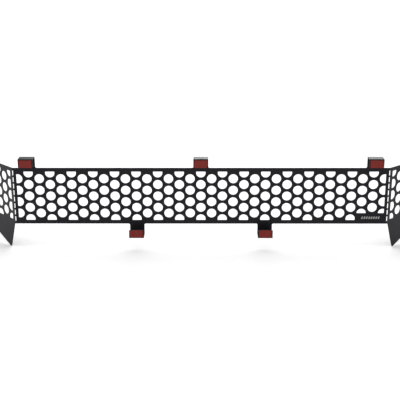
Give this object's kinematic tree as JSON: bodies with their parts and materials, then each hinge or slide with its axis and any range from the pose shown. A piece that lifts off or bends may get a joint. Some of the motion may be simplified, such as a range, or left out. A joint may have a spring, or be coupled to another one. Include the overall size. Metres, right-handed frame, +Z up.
{
  "type": "perforated bumper grille insert",
  "caption": "Black perforated steel bumper grille insert: flat centre panel, fold-back end wings with lower fins, and J-shaped hooks carrying adhesive pads with peel-off liners.",
  "frame": {"origin": "middle of the liner's face on the top centre hook's adhesive pad", "axes": "+X along the grille to its right end as seen from the front, -Y out of its front, +Z up"},
  "size_m": [1.3235, 0.1624, 0.2818],
  "materials": {
    "powder_coat": "satin black powder coat with fine orange peel",
    "foam_tape": "matt black acrylic foam tape",
    "liner_film": "translucent red film liner, satin"
  },
  "bodies": {
    "grille": {"centre_panel": "powder_coat", "left_fold_webs": "powder_coat", "right_fold_webs": "powder_coat", "top_left_hook": "powder_coat", "top_left_tape": "foam_tape", "top_centre_hook": "powder_coat", "top_centre_tape": "foam_tape", "top_right_hook": "powder_coat", "top_right_tape": "foam_tape", "bottom_left_hook": "powder_coat", "bottom_left_tape": "foam_tape", "bottom_right_hook": "powder_coat", "bottom_right_tape": "foam_tape"},
    "left_wing": {"left_wing": "powder_coat"},
    "right_wing": {"right_wing": "powder_coat"},
    "top_left_liner": {"top_left_liner": "liner_film"},
    "top_centre_liner": {"top_centre_liner": "liner_film"},
    "top_right_liner": {"top_right_liner": "liner_film"},
    "bottom_left_liner": {"bottom_left_liner": "liner_film"},
    "bottom_right_liner": {"bottom_right_liner": "liner_film"}
  },
  "joints": [
    {"name": "left_fold", "type": "hinge", "parent": "grille", "child": "left_wing", "pos_m": [-0.5448, 0.03335, -0.1042], "axis": [0, 0, -1], "range_deg": [-47.4, 42.6]},
    {"name": "right_fold", "type": "hinge", "parent": "grille", "child": "right_wing", "pos_m": [0.5448, 0.03335, -0.1042], "axis": [0, 0, 1], "range_deg": [-42.9, 47.1]},
    {"name": "top_left_peel", "type": "slide", "parent": "grille", "child": "top_left_liner", "axis": [0, -1, 0], "range_m": [0, 0.04]},
    {"name": "top_centre_peel", "type": "slide", "parent": "grille", "child": "top_centre_liner", "axis": [0, -1, 0], "range_m": [0, 0.04]},
    {"name": "top_right_peel", "type": "slide", "parent": "grille", "child": "top_right_liner", "axis": [0, -1, 0], "range_m": [0, 0.04]},
    {"name": "bottom_left_peel", "type": "slide", "parent": "grille", "child": "bottom_left_liner", "axis": [0, -1, 0], "range_m": [0, 0.04]},
    {"name": "bottom_right_peel", "type": "slide", "parent": "grille", "child": "bottom_right_liner", "axis": [0, -1, 0], "range_m": [0, 0.04]}
  ]
}
